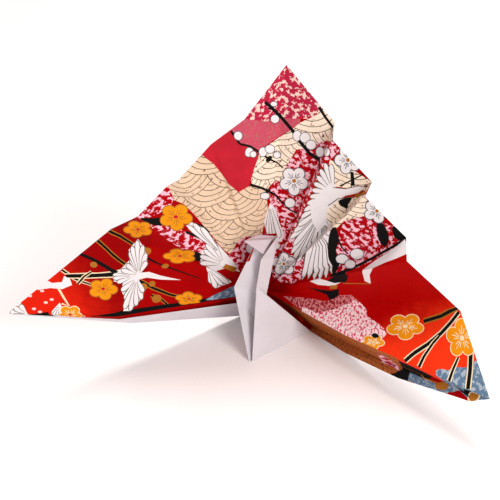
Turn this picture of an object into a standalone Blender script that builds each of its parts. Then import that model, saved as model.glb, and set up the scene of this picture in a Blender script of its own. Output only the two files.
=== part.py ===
"""A celebration crane folded from one square sheet of paper, white outside and printed inside.

Three corners of the square make the pleated fan and the two wings. The fourth makes the neck
and head: a doubled flap, folded to a groove, that also stands the crane on the table.
The folded sheet is one surface, given thickness at the end.

Metres, +Z up. The crane looks towards -Y and a little towards -X. The origin is on the table,
below the middle of the model.
"""

from itertools import combinations

import bpy
import bmesh
from mathutils import Matrix, Vector

SHEET_SIDE = 0.150
PAPER_THICKNESS = 0.0003

# Every place below is in millimetres on a crane folded from a 150 mm sheet.
# A larger or smaller sheet gives a larger or smaller crane.
MILLIMETRE = SHEET_SIDE / 150
SMALLEST_LENGTH = 1e-9

# Places are (right, back, up) from the front tip of the foot, where it touches the table.
# The paper's middle layer lies half its thickness above the table.
ON_TABLE = 0.0

# The middle of the square, where all the pleats meet behind the neck.
PIVOT = (5.8, 28.7, 12.0)

# Where each fold of the fan ends on the sheet's edge, from the right wing's tip over the fan's
# top to the left wing's tip. Ridges and valleys take turns, so each step in the list is a pleat.
FAN_EDGE = {
    "right_tip": (82.7, -43.6, 22.5),
    "right_bow": (74.4, -17.0, 39.9),
    "right_valley_low": (54.8, -10.0, 56.8),
    "right_ridge_low": (55.2, -1.1, 60.5),
    "right_valley": (40.1, 3.0, 75.1),
    "right_ridge": (42.9, 9.0, 77.3),
    "right_valley_high": (28.5, 12.0, 92.8),
    "right_ridge_high": (29.3, 16.9, 97.0),
    "fan_top": (12.2, 20.4, 117.6),
    "left_ridge_high": (-2.2, 11.8, 101.2),
    "left_valley_high": (-13.8, 11.9, 91.2),
    "left_ridge": (-25.3, 7.1, 79.4),
    "left_valley": (-29.3, 7.8, 76.6),
    "left_ridge_low": (-40.1, 4.2, 65.9),
    "left_valley_low": (-50.4, 6.4, 58.7),
    "left_tip": (-86.7, -16.3, 37.9),
}

# Each wing's lower edge is a fold from the pivot to the tip, and it sags in its middle.
RIGHT_WING_SAG = (35.6, -2.0, 15.5)
LEFT_WING_SAG = (-51.0, 2.0, 21.5)

# The layer under the right wing: a fold from the tip to the foot, and the paper's free edge,
# which springs forward and down.
RIGHT_UNDER_FOLD = (50.5, -9.3, 8.5)
RIGHT_FREE_NEAR_FOOT = (36.5, 2.4, 2.5)
RIGHT_FREE_MIDDLE = (54.7, -16.5, 7.0)
RIGHT_FREE_NEAR_TIP = (76.8, -40.2, 18.0)

# The layer under the left wing lies closed against it, with its free edge just below the fold.
LEFT_UNDER_FOLD = (-45.7, 3.2, 17.0)
LEFT_FREE_MIDDLE = (-49.6, 1.1, 20.6)

# The foot: the flap's rims end side by side at the front, and its corners stand behind them.
FOOT_RIGHT_RIM = (0.6, 0.0, ON_TABLE)
FOOT_LEFT_RIM = (-0.6, 0.3, ON_TABLE)
FOOT_RIGHT_CORNER = (23.7, 18.2, ON_TABLE)
FOOT_RIGHT_INNER = (24.6, 21.3, ON_TABLE)
FOOT_LEFT_INNER = (-3.8, 27.5, ON_TABLE)
FOOT_LEFT_CORNER = (-3.0, 22.0, 11.7)
FOOT_SPINE = (6.5, 10.0, 4.0)

# Sections up the neck, each across the doubled flap: the right free edge, the right rim, the
# spine at the back of the groove, the left rim and the left free edge.
SECTION_SIDES = ("right_edge", "right_rim", "spine", "left_rim", "left_edge")
NECK_SECTIONS = {
    "bend": ((6.1, 15.0, 21.3), (2.3, 12.0, 27.4), (5.1, 15.7, 21.0), (-6.3, 13.5, 26.0), (4.7, 16.7, 20.5)),
    "middle": ((8.9, 18.0, 37.2), (3.9, 12.5, 40.0), (8.0, 18.8, 37.0), (-1.5, 14.5, 37.5), (7.5, 19.9, 37.0)),
    "crown": ((10.9, 18.6, 47.5), (8.7, 13.5, 48.3), (10.4, 18.8, 46.3), (3.1, 16.0, 49.0), (9.9, 19.2, 47.6)),
}

# The head leans forward from the crown, and only the flap's inner layers go on into it.
NAPE_RIGHT_RIM = (4.6, 11.5, 43.6)
NAPE_SPINE = (8.0, 15.0, 47.7)
NAPE_LEFT_RIM = (-0.7, 13.5, 49.1)
BEAK_TIP = (-2.4, 11.0, 49.9)

PRINT_COLOUR = (0.42, 0.020, 0.030, 1.0)
PAPER_ROUGHNESS = 0.75


def place(spot):
    """A place given in millimetres from the foot's tip, in metres."""
    return Vector(spot) * MILLIMETRE


def fan_facets(sheet):
    """The printed front: one facet from the pivot to each pair of neighbouring fold ends."""
    names = list(FAN_EDGE)
    for low, high in zip(names[1:-2], names[2:-1]):
        sheet.facet("pivot", low, high)
    sheet.facet("pivot", "right_wing_sag", "right_bow")
    sheet.facet("right_wing_sag", "right_tip", "right_bow")
    sheet.facet("pivot", "left_valley_low", "left_wing_sag")
    sheet.facet("left_valley_low", "left_tip", "left_wing_sag")


def right_under_wing_facets(sheet):
    """Down from the wing's lower fold, then forward to the free edge."""
    sheet.facet("right_tip", "right_wing_sag", "right_under_fold")
    sheet.facet("right_wing_sag", "pivot", "right_under_fold")
    sheet.facet("pivot", "foot_right_inner", "right_under_fold")
    sheet.facet("right_tip", "right_under_fold", "right_free_near_tip")
    sheet.facet("right_under_fold", "right_free_middle", "right_free_near_tip")
    sheet.facet("right_under_fold", "right_free_near_foot", "right_free_middle")
    sheet.facet("right_under_fold", "foot_right_inner", "right_free_near_foot")
    sheet.facet("foot_right_inner", "foot_right_corner", "right_free_near_foot")


def left_under_wing_facets(sheet):
    """Back and down from the wing's lower fold, then up again, white side out."""
    sheet.facet("left_tip", "left_under_fold", "left_wing_sag")
    sheet.facet("pivot", "left_wing_sag", "left_under_fold")
    sheet.facet("pivot", "left_under_fold", "foot_left_inner")
    sheet.facet("left_tip", "left_free_middle", "left_under_fold")
    sheet.facet("left_under_fold", "left_free_middle", "foot_left_corner")
    sheet.facet("left_under_fold", "foot_left_corner", "foot_left_inner")


def foot_facets(sheet):
    """What closes the flap on the table, hidden behind its right half."""
    sheet.facet("foot_right_corner", "foot_right_inner", "foot_right_rim")
    sheet.facet("foot_right_rim", "foot_right_inner", "foot_spine")
    sheet.facet("foot_spine", "foot_right_inner", "pivot")
    sheet.facet("foot_spine", "pivot", "foot_left_inner")
    sheet.facet("foot_left_rim", "foot_spine", "foot_left_inner")
    sheet.facet("foot_left_rim", "foot_left_inner", "foot_left_corner")


def neck_facets(sheet):
    """The doubled flap: four strips side by side, from the foot up to the crown."""
    sections = [("foot_right_corner", "foot_right_rim", "foot_spine", "foot_left_rim", "foot_left_corner")]
    for name in NECK_SECTIONS:
        sections.append(tuple(f"{name}_{side}" for side in SECTION_SIDES))
    for below, above in zip(sections, sections[1:]):
        for side in range(len(SECTION_SIDES) - 1):
            corners = (below[side], below[side + 1], above[side + 1], above[side])
            if SECTION_SIDES[side].endswith("rim"):
                corners = corners[1:] + corners[:1]
            sheet.facet(*corners[:3])
            sheet.facet(corners[0], *corners[2:])


def head_facets(sheet):
    """A small roof with its ridge along the spine, narrowing to the beak."""
    sheet.facet("crown_right_rim", "crown_spine", "nape_right_rim")
    sheet.facet("nape_right_rim", "crown_spine", "nape_spine")
    sheet.facet("nape_right_rim", "nape_spine", "beak_tip")
    sheet.facet("crown_spine", "crown_left_rim", "nape_left_rim")
    sheet.facet("crown_spine", "nape_left_rim", "nape_spine")
    sheet.facet("nape_spine", "nape_left_rim", "beak_tip")


def widest_direction(normals):
    """The direction that leans least away from any of these facet normals."""
    candidates = [first + second for first, second in combinations(normals, 2)]
    for first, second, third in combinations(normals, 3):
        level = (second - first).cross(third - first)
        candidates += [level, -level]
    candidates = [way.normalized() for way in candidates if way.length > SMALLEST_LENGTH] or [normals[0]]
    return max(candidates, key=lambda way: min(way.dot(normal) for normal in normals))


class Sheet:
    """The folded sheet's middle layer, built facet by facet between named corners."""

    def __init__(self, spots):
        self.mesh = bmesh.new()
        self.corners = {name: self.mesh.verts.new(place(spot)) for name, spot in spots.items()}
        self.on_table = {self.corners[name] for name, spot in spots.items() if spot[2] == ON_TABLE}

    def facet(self, *names):
        """One flat facet, its printed side facing where the names run anticlockwise."""
        self.mesh.faces.new([self.corners[name] for name in names])

    def solid(self, thickness):
        """The paper: the printed side, the white side and the walls round its free edges."""
        self.mesh.normal_update()
        paper = bmesh.new()
        printed, white = {}, {}
        for corner in self.mesh.verts:
            half = widest_direction([facet.normal for facet in corner.link_faces]) * thickness / 2
            middle = corner.co.copy()
            if corner in self.on_table:
                middle.z = abs(half.z)
            printed[corner] = paper.verts.new(middle + half)
            white[corner] = paper.verts.new(middle - half)
        for facet in self.mesh.faces:
            paper.faces.new([printed[corner] for corner in facet.verts])
            paper.faces.new([white[corner] for corner in reversed(facet.verts)])
        for edge in self.mesh.edges:
            if edge.is_boundary:
                start = edge.link_loops[0].vert
                end = edge.other_vert(start)
                paper.faces.new([printed[start], white[start], white[end], printed[end]])
        return paper


def all_spots():
    spots = dict(FAN_EDGE)
    spots["pivot"] = PIVOT
    spots["right_wing_sag"] = RIGHT_WING_SAG
    spots["left_wing_sag"] = LEFT_WING_SAG
    spots["right_under_fold"] = RIGHT_UNDER_FOLD
    spots["right_free_near_foot"] = RIGHT_FREE_NEAR_FOOT
    spots["right_free_middle"] = RIGHT_FREE_MIDDLE
    spots["right_free_near_tip"] = RIGHT_FREE_NEAR_TIP
    spots["left_under_fold"] = LEFT_UNDER_FOLD
    spots["left_free_middle"] = LEFT_FREE_MIDDLE
    spots["foot_right_rim"] = FOOT_RIGHT_RIM
    spots["foot_left_rim"] = FOOT_LEFT_RIM
    spots["foot_right_corner"] = FOOT_RIGHT_CORNER
    spots["foot_right_inner"] = FOOT_RIGHT_INNER
    spots["foot_left_inner"] = FOOT_LEFT_INNER
    spots["foot_left_corner"] = FOOT_LEFT_CORNER
    spots["foot_spine"] = FOOT_SPINE
    for name, section in NECK_SECTIONS.items():
        for side, spot in zip(SECTION_SIDES, section):
            spots[f"{name}_{side}"] = spot
    spots["nape_right_rim"] = NAPE_RIGHT_RIM
    spots["nape_spine"] = NAPE_SPINE
    spots["nape_left_rim"] = NAPE_LEFT_RIM
    spots["beak_tip"] = BEAK_TIP
    return spots


def clear_scene():
    for obj in list(bpy.data.objects):
        bpy.data.objects.remove(obj, do_unlink=True)


def printed_paper():
    material = bpy.data.materials.new("printed_paper")
    material.use_nodes = True
    shader = material.node_tree.nodes["Principled BSDF"]
    shader.inputs["Base Color"].default_value = PRINT_COLOUR
    shader.inputs["Roughness"].default_value = PAPER_ROUGHNESS
    return material


def rest_on_origin(mesh):
    """Move the mesh so that its box has its bottom centre at the origin."""
    lows = [min(vertex.co[axis] for vertex in mesh.vertices) for axis in range(3)]
    highs = [max(vertex.co[axis] for vertex in mesh.vertices) for axis in range(3)]
    bottom_centre = Vector(((lows[0] + highs[0]) / 2, (lows[1] + highs[1]) / 2, lows[2]))
    mesh.transform(Matrix.Translation(-bottom_centre))


def build():
    clear_scene()
    sheet = Sheet(all_spots())
    fan_facets(sheet)
    right_under_wing_facets(sheet)
    left_under_wing_facets(sheet)
    foot_facets(sheet)
    neck_facets(sheet)
    head_facets(sheet)
    paper = sheet.solid(PAPER_THICKNESS)
    mesh = bpy.data.meshes.new("folded_sheet")
    paper.to_mesh(mesh)
    paper.free()
    rest_on_origin(mesh)
    mesh.materials.append(printed_paper())
    crane = bpy.data.objects.new("folded_sheet", mesh)
    collection = bpy.data.collections.new("origami_crane")
    bpy.context.scene.collection.children.link(collection)
    collection.objects.link(crane)


build()
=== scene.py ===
"""The looks of a celebration crane folded from one square of printed paper.

The sheet is laid out flat, in millimetres, with its fold lines and its print drawn as outlines.
The flat drawing is cut into triangles along all of them, and each triangle is carried to its
place in the folded crane. Side A of the paper is printed and side B is white.

Flat places are (right, up) from the middle of the sheet, which stands on one corner: the fan's
top is the upper corner, the wings' tips are the left and right corners, the beak is the lower.
Folded places are (right, back, up) from the front tip of the foot.
"""

import math
import random
from functools import cached_property
from itertools import combinations

import bmesh
import bpy
import numpy as np
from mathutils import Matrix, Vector
from mathutils.geometry import delaunay_2d_cdt

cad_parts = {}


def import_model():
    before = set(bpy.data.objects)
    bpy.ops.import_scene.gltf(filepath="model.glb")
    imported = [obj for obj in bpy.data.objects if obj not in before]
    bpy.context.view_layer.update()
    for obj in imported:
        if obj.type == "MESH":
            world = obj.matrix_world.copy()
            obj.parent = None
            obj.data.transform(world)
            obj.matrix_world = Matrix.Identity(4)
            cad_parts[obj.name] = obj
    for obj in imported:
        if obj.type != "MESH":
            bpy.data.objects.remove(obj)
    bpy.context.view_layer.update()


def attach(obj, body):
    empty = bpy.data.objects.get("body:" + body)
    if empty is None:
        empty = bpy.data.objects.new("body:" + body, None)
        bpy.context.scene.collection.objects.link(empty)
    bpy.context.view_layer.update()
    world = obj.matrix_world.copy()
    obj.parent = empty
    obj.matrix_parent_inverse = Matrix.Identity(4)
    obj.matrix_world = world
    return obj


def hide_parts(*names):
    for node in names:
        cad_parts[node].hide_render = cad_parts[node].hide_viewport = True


MM = 0.001
SHEET_SIDE = 150.0
HALF_DIAGONAL = SHEET_SIDE / math.sqrt(2)
PAPER_THICKNESS = 0.12
# A direction or a step shorter than this counts as none.
NO_LENGTH = 1e-9
NO_STEP = 1e-6
# The foot's front tip, seen from the CAD's origin.
FOOT_TIP = Vector((1.978, 7.440, 0.0))


# The folds


def rim_point(angle):
    """Where a fold at this angle from the fan's middle meets the edge of the flat sheet."""
    turn = math.radians(angle)
    reach = HALF_DIAGONAL * math.cos(math.radians(45)) / math.cos(math.radians(45) - abs(turn))
    return (reach * math.sin(turn), reach * math.cos(turn))


def between(start, end, share):
    return tuple(a + (b - a) * share for a, b in zip(start, end))


SHEET_TOP = (0.0, HALF_DIAGONAL)
SHEET_LEFT = (-HALF_DIAGONAL, 0.0)
SHEET_RIGHT = (HALF_DIAGONAL, 0.0)
SHEET_BOTTOM = (0.0, -HALF_DIAGONAL)
INNER = 0.2929 * HALF_DIAGONAL
INNER_RIGHT = (INNER, -INNER)
INNER_LEFT = (-INNER, -INNER)
INNER_MIDDLE = (0.0, -INNER)
EDGE_RIGHT = (0.5 * HALF_DIAGONAL, -0.5 * HALF_DIAGONAL)
EDGE_LEFT = (-0.5 * HALF_DIAGONAL, -0.5 * HALF_DIAGONAL)

# Each fold of the fan: its angle on the flat sheet, and the folded place of its outer end.
FAN_EDGE = {
    "right_tip": (90.0, (82.7, -43.6, 22.5)),
    "right_bow": (75.7, (74.4, -17.0, 39.9)),
    "right_valley_low": (58.3, (54.8, -10.0, 56.8)),
    "right_ridge_low": (51.0, (55.2, -1.1, 60.5)),
    "right_valley": (35.0, (40.1, 3.0, 75.1)),
    "right_ridge": (29.9, (42.9, 9.0, 77.3)),
    "right_valley_high": (16.0, (28.5, 12.0, 92.8)),
    "right_ridge_high": (12.5, (29.3, 16.9, 97.0)),
    "fan_top": (0.0, (12.2, 20.4, 117.6)),
    "left_ridge_high": (-10.5, (-2.2, 11.8, 101.2)),
    "left_valley_high": (-19.1, (-13.8, 11.9, 91.2)),
    "left_ridge": (-30.7, (-25.3, 7.1, 79.4)),
    "left_valley": (-34.4, (-29.3, 7.8, 76.6)),
    "left_ridge_low": (-45.9, (-40.1, 4.2, 65.9)),
    "left_valley_low": (-55.7, (-50.4, 6.4, 58.7)),
    "left_tip": (-90.0, (-86.7, -16.3, 37.9)),
}

# The other corners of the folds: (flat place, folded place).
CORNERS = {
    "pivot": ((0.0, 0.0), (5.8, 28.7, 12.0)),
    "right_wing_sag": (between((0.0, 0.0), SHEET_RIGHT, 0.40), (35.6, -2.0, 15.5)),
    "left_wing_sag": (between((0.0, 0.0), SHEET_LEFT, 0.60), (-51.0, 2.0, 21.5)),
    "right_under_fold": (between(SHEET_RIGHT, INNER_RIGHT, 0.545), (50.5, -9.3, 8.5)),
    "right_free_near_foot": (between(SHEET_RIGHT, EDGE_RIGHT, 0.771), (36.5, 2.4, 2.5)),
    "right_free_middle": (between(SHEET_RIGHT, EDGE_RIGHT, 0.474), (54.7, -16.5, 7.0)),
    "right_free_near_tip": (between(SHEET_RIGHT, EDGE_RIGHT, 0.09), (76.8, -40.2, 18.0)),
    "left_under_fold": (between(SHEET_LEFT, INNER_LEFT, 0.49), (-45.7, 3.2, 17.0)),
    "left_free_middle": (between(SHEET_LEFT, EDGE_LEFT, 0.46), (-49.6, 1.1, 20.6)),
    "foot_right_rim": (between(SHEET_BOTTOM, INNER_RIGHT, 0.841), (0.6, 0.0, 0.0)),
    "foot_left_rim": (between(SHEET_BOTTOM, INNER_LEFT, 0.841), (-0.6, 0.3, 0.0)),
    "foot_right_corner": (EDGE_RIGHT, (23.7, 18.2, 0.0)),
    "foot_right_inner": (INNER_RIGHT, (24.6, 21.3, 0.0)),
    "foot_left_inner": (INNER_LEFT, (-3.8, 27.5, 0.0)),
    "foot_left_corner": (EDGE_LEFT, (-3.0, 22.0, 11.7)),
    "foot_spine": (INNER_MIDDLE, (6.5, 10.0, 4.0)),
    "nape_right_rim": (between(SHEET_BOTTOM, INNER_RIGHT, 0.116), (4.6, 11.5, 43.6)),
    "nape_spine": (between(SHEET_BOTTOM, INNER_MIDDLE, 0.116), (8.0, 15.0, 47.7)),
    "nape_left_rim": (between(SHEET_BOTTOM, INNER_LEFT, 0.116), (-0.7, 13.5, 49.1)),
    "beak_tip": (SHEET_BOTTOM, (-2.4, 11.0, 49.9)),
}
ON_TABLE = ("foot_right_rim", "foot_left_rim", "foot_right_corner", "foot_right_inner", "foot_left_inner")

# Sections up the neck: how far from the sheet's lower corner, and the folded places across.
SECTION_SIDES = ("right_edge", "right_rim", "spine", "left_rim", "left_edge")
SECTION_FEET = (EDGE_RIGHT, INNER_RIGHT, INNER_MIDDLE, INNER_LEFT, EDGE_LEFT)
NECK_SECTIONS = {
    "bend": (0.472, (
        (6.1, 15.0, 21.3), (2.3, 12.0, 27.4), (5.1, 15.7, 21.0), (-6.3, 13.5, 26.0), (4.7, 16.7, 20.5))),
    "middle": (0.315, (
        (8.9, 18.0, 37.2), (3.9, 12.5, 40.0), (8.0, 18.8, 37.0), (-1.5, 14.5, 37.5), (7.5, 19.9, 37.0))),
    "crown": (0.197, (
        (10.9, 18.6, 47.5), (8.7, 13.5, 48.3), (10.4, 18.8, 46.3), (3.1, 16.0, 49.0), (9.9, 19.2, 47.6))),
}


def gather_corners():
    """Every corner's flat place and folded place, by name."""
    corners = {name: (rim_point(angle), place) for name, (angle, place) in FAN_EDGE.items()}
    corners.update(CORNERS)
    for name, (share, places) in NECK_SECTIONS.items():
        for side, foot, place in zip(SECTION_SIDES, SECTION_FEET, places):
            corners[f"{name}_{side}"] = (between(SHEET_BOTTOM, foot, share), place)
    return corners


def gather_facets():
    """Every flat facet as three corner names, anticlockwise on the printed side."""
    names = list(FAN_EDGE)
    facets = [("pivot", low, high) for low, high in zip(names[1:-2], names[2:-1])]
    facets += [
        ("pivot", "right_wing_sag", "right_bow"),
        ("right_wing_sag", "right_tip", "right_bow"),
        ("pivot", "left_valley_low", "left_wing_sag"),
        ("left_valley_low", "left_tip", "left_wing_sag"),
        ("right_tip", "right_wing_sag", "right_under_fold"),
        ("right_wing_sag", "pivot", "right_under_fold"),
        ("pivot", "foot_right_inner", "right_under_fold"),
        ("right_tip", "right_under_fold", "right_free_near_tip"),
        ("right_under_fold", "right_free_middle", "right_free_near_tip"),
        ("right_under_fold", "right_free_near_foot", "right_free_middle"),
        ("right_under_fold", "foot_right_inner", "right_free_near_foot"),
        ("foot_right_inner", "foot_right_corner", "right_free_near_foot"),
        ("left_tip", "left_under_fold", "left_wing_sag"),
        ("pivot", "left_wing_sag", "left_under_fold"),
        ("pivot", "left_under_fold", "foot_left_inner"),
        ("left_tip", "left_free_middle", "left_under_fold"),
        ("left_under_fold", "left_free_middle", "foot_left_corner"),
        ("left_under_fold", "foot_left_corner", "foot_left_inner"),
        ("foot_right_corner", "foot_right_inner", "foot_right_rim"),
        ("foot_right_rim", "foot_right_inner", "foot_spine"),
        ("foot_spine", "foot_right_inner", "pivot"),
        ("foot_spine", "pivot", "foot_left_inner"),
        ("foot_left_rim", "foot_spine", "foot_left_inner"),
        ("foot_left_rim", "foot_left_inner", "foot_left_corner"),
        ("crown_right_rim", "crown_spine", "nape_right_rim"),
        ("nape_right_rim", "crown_spine", "nape_spine"),
        ("nape_right_rim", "nape_spine", "beak_tip"),
        ("crown_spine", "crown_left_rim", "nape_left_rim"),
        ("crown_spine", "nape_left_rim", "nape_spine"),
        ("nape_spine", "nape_left_rim", "beak_tip"),
    ]
    sections = [("foot_right_corner", "foot_right_rim", "foot_spine", "foot_left_rim", "foot_left_corner")]
    sections += [tuple(f"{name}_{side}" for side in SECTION_SIDES) for name in NECK_SECTIONS]
    for below, above in zip(sections, sections[1:]):
        for side in range(len(SECTION_SIDES) - 1):
            quad = (below[side], below[side + 1], above[side + 1], above[side])
            if SECTION_SIDES[side].endswith("rim"):
                quad = quad[1:] + quad[:1]
            facets += [quad[:3], (quad[0], *quad[2:])]
    return facets


def widest_direction(normals):
    """The direction that leans least away from any of these facet normals."""
    candidates = [first + second for first, second in combinations(normals, 2)]
    for first, second, third in combinations(normals, 3):
        level = (second - first).cross(third - first)
        candidates += [level, -level]
    candidates = [way.normalized() for way in candidates if way.length > NO_LENGTH] or [normals[0]]
    return max(candidates, key=lambda way: min(way.dot(normal) for normal in normals))


class Folding:
    """Carries places on the flat sheet to the folded crane, facet by facet."""

    def __init__(self):
        self.corners = gather_corners()
        self.facets = gather_facets()
        self.flat = {name: Vector(flat) for name, (flat, _) in self.corners.items()}
        self.place = {name: Vector(place) for name, (_, place) in self.corners.items()}
        self.normals = [self.facet_normal(facet) for facet in self.facets]
        self.half = {}
        for name in self.corners:
            around = [normal for facet, normal in zip(self.facets, self.normals) if name in facet]
            self.half[name] = widest_direction(around) * PAPER_THICKNESS / 2
        for name in ON_TABLE:
            self.place[name].z = abs(self.half[name].z)

    def facet_normal(self, facet):
        a, b, c = (self.place[name] for name in facet)
        return (b - a).cross(c - a).normalized()

    def shares(self, facet, point):
        """How much each of the facet's corners counts at a flat point."""
        a, b, c = (self.flat[name] for name in facet)
        ab, ac, ap = b - a, c - a, point - a
        area = ab.cross(ac)
        second, third = ap.cross(ac) / area, ab.cross(ap) / area
        return (1 - second - third, second, third)

    def carry(self, index, point):
        """The folded places of a flat point in one facet, on side A and on side B."""
        facet = self.facets[index]
        shares = self.shares(facet, point)
        middle, half = Vector(), Vector()
        for share, name in zip(shares, facet):
            middle += self.place[name] * share
            half += self.half[name] * share
        middle += self.normals[index] * self.sway(facet, shares, point)
        return middle + half, middle - half

    def sway(self, facet, shares, point):
        """How far the soft paper stands off its flat facet, in millimetres."""
        sway = 0.0
        for corners, depth in PANELS.items():
            if set(facet) <= set(corners):
                rim = [self.flat[name] for name in corners if not name.endswith("_sag")]
                off = min(off_line(point, pair) for pair in zip(rim, rim[1:] + rim[:1]))
                sway += depth * (1 - math.exp(-((off / SAG_REACH) ** 2)))
                for line, height in self.creases:
                    off = min(off_line(point, pair) for pair in zip(line, line[1:]))
                    rise = min(1.0, max(0.0, CREASE_RISE * min(shares)))
                    sway += height * math.exp(-off / CREASE_REACH) * rise
        return sway

    @cached_property
    def creases(self):
        """Each soft crease as flat places, with its height."""
        return [([self.seen(pixel) for pixel in pixels], height) for pixels, height in SOFT_CREASES.values()]

    def seen(self, pixel):
        """The flat place of what the photograph shows at this pixel."""
        tilt = math.radians(CAMERA_DOWN)
        forward = Vector((0.0, math.cos(tilt), -math.sin(tilt)))
        upward = Vector((0.0, math.sin(tilt), math.cos(tilt)))
        ray = forward * FOCAL_PIXELS + upward * (FRAME_PIXELS / 2 - pixel[1])
        ray.x += pixel[0] - FRAME_PIXELS / 2
        best = None
        for facet, normal in list(zip(self.facets, self.normals))[:PRINTED_FACETS]:
            if ray.dot(normal) > -EDGE_ON:
                continue
            a, b, c = (self.place[name] for name in facet)
            reach = (a - CAMERA_PLACE).dot(normal) / ray.dot(normal)
            hit = CAMERA_PLACE + ray * reach - a
            area = (b - a).cross(c - a).dot(normal)
            second = hit.cross(c - a).dot(normal) / area
            third = (b - a).cross(hit).dot(normal) / area
            shares = (1 - second - third, second, third)
            miss = min(0.0, round(min(shares), 4))
            if best is None or (miss, -reach) > best[0]:
                best = ((miss, -reach), shares, facet)
        _, shares, facet = best
        return sum((self.flat[name] * share for share, name in zip(shares, facet)), Vector((0, 0)))


# The photograph's view: from where, how many degrees down, and through which lens

CAMERA_PLACE = Vector((-0.2, -343.6, 313.0))
CAMERA_DOWN = 37.0
CAMERA_LENS = 86.4
SENSOR_WIDTH = 36.0
FRAME_PIXELS = 500
FOCAL_PIXELS = CAMERA_LENS / SENSOR_WIDTH * FRAME_PIXELS
# The print is looked up in the first facets: the fan, the wings and the right wing's pocket.
PRINTED_FACETS = 24
# How far a pixel's ray, about 1200 long, must run against a facet's normal for it to be seen.
EDGE_ON = 1.0


# The soft paper

# Panels of paper between real folds, and how far each stands out in its middle, in millimetres.
PANELS = {
    ("pivot", "right_wing_sag", "right_tip", "right_bow", "right_valley_low"): -1.6,
    ("pivot", "right_valley_low", "right_ridge_low"): 0.3,
    ("pivot", "right_ridge_low", "right_valley"): -0.7,
    ("pivot", "right_valley", "right_ridge"): 0.3,
    ("pivot", "right_ridge", "right_valley_high"): -0.7,
    ("pivot", "right_valley_high", "right_ridge_high"): 0.3,
    ("pivot", "right_ridge_high", "fan_top"): -0.6,
    ("pivot", "fan_top", "left_ridge_high"): -0.6,
    ("pivot", "left_ridge_high", "left_valley_high"): 0.7,
    ("pivot", "left_valley_high", "left_ridge"): -0.9,
    ("pivot", "left_ridge", "left_valley"): 0.3,
    ("pivot", "left_valley", "left_ridge_low"): -0.7,
    ("pivot", "left_ridge_low", "left_valley_low"): 0.6,
    ("pivot", "left_valley_low", "left_tip", "left_wing_sag"): -1.3,
}
# How far from a fold a panel reaches most of its sag, in millimetres.
SAG_REACH = 11.0

# Soft creases, by the photograph's pixels, and how high each stands, in millimetres.
SOFT_CREASES = {
    "fan_upper_left": (((237, 128), (242, 150), (244, 175), (238, 190)), 0.8),
    "fan_lower_left": (((208, 159), (226, 176), (237, 204), (245, 230)), 0.8),
    "left_wing_inner": (((147, 257), (182, 282), (215, 293)), -0.8),
    "right_wing_high": (((407, 261), (385, 265), (368, 270), (340, 283)), -0.9),
    "right_wing_low": (((405, 318), (370, 312), (330, 300)), -0.5),
    "left_wing_outer": (((60, 290), (110, 268), (160, 262)), 0.5),
}
# How far a crease's slope reaches from its line, and how fast it rises from a real fold.
CREASE_REACH = 3.0
CREASE_RISE = 10


def off_line(point, pair):
    """How far a flat point is from a line's nearest point."""
    start, end = pair
    along = end - start
    share = max(0.0, min(1.0, (point - start).dot(along) / along.length_squared))
    return (point - start - along * share).length


# The print

SCALE_SEED = 7
# A wave scale's radius and the step between its arcs, in millimetres.
SCALE_SIZE = (12.5, 2.4)
POCKET_SCALE_SIZE = (5.5, 1.8)
# How far apart scales and their rows lie, and how far a second row is shifted, as shares of the radius.
SCALE_PITCH, SCALE_ROW_PITCH, SCALE_SHIFT = 1.8, 0.62, 0.9
# How far a scale may lie off its place, right and up, in millimetres.
SCALE_STRAY = (1.2, 1.0)
# Where a scale is tested for lying in its field, as angles below its middle.
SCALE_TESTS = (0.3, 0.8, 1.57, 2.3, 2.8)
# How much larger the edge of a branch is drawn, in millimetres, and that of a petal and a bud, in pixels.
BRANCH_EDGE, PETAL_EDGE, BUD_EDGE = 0.9, 0.9, 0.7
# How far out a blossom's petals lie, and how large petals, middle and heart are, as shares of its reach.
PETAL_OUT, PETAL_SIZE, MIDDLE_SIZE, HEART_SIZE = 0.62, 0.40, 0.5, 0.15
# A petal's stamens: how each leans, and its end as a share of the blossom's reach.
STAMENS = ((-0.32, 0.52), (0.0, 0.68), (0.32, 0.52))
STAMEN_START, STAMEN_WIDTH = 0.22, 0.28
# A feather's outline on one side of its quill: how far along it, and how far out.
FEATHER_SHAPE = ((0.12, 0.2), (0.5, 0.75), (0.8, 1.0), (0.93, 0.75), (1.0, 0.0))


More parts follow.
